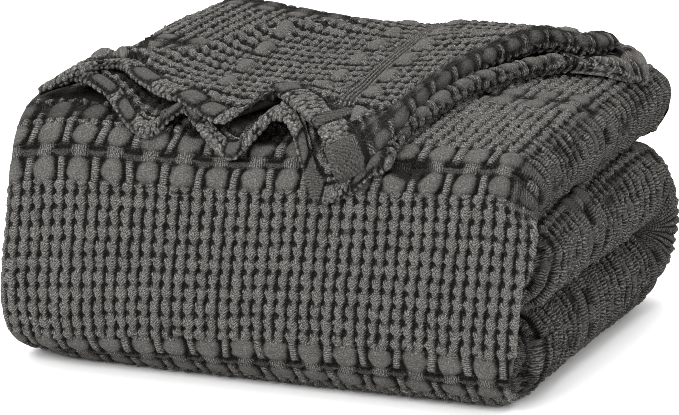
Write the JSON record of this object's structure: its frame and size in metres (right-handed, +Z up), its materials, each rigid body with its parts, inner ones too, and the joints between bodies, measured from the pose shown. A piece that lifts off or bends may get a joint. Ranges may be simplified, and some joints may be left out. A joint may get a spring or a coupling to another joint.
{
  "type": "waffle weave cotton blanket, folded",
  "caption": "Folded waffle weave cotton blanket: a layered strip of cloth rolled over front to back, with a loose corner and frilled hems spread over the top.",
  "frame": {"origin": "middle of the blanket's footprint, on the surface it rests on", "axes": "+X to the right along the folded stack's longer side, +Y to the back, away from the tall front fold, +Z up"},
  "size_m": [0.3876, 0.3238, 0.2045],
  "materials": {
    "cotton": "matte"
  },
  "bodies": {
    "root": {"blanket": "cotton"}
  },
  "joints": []
}
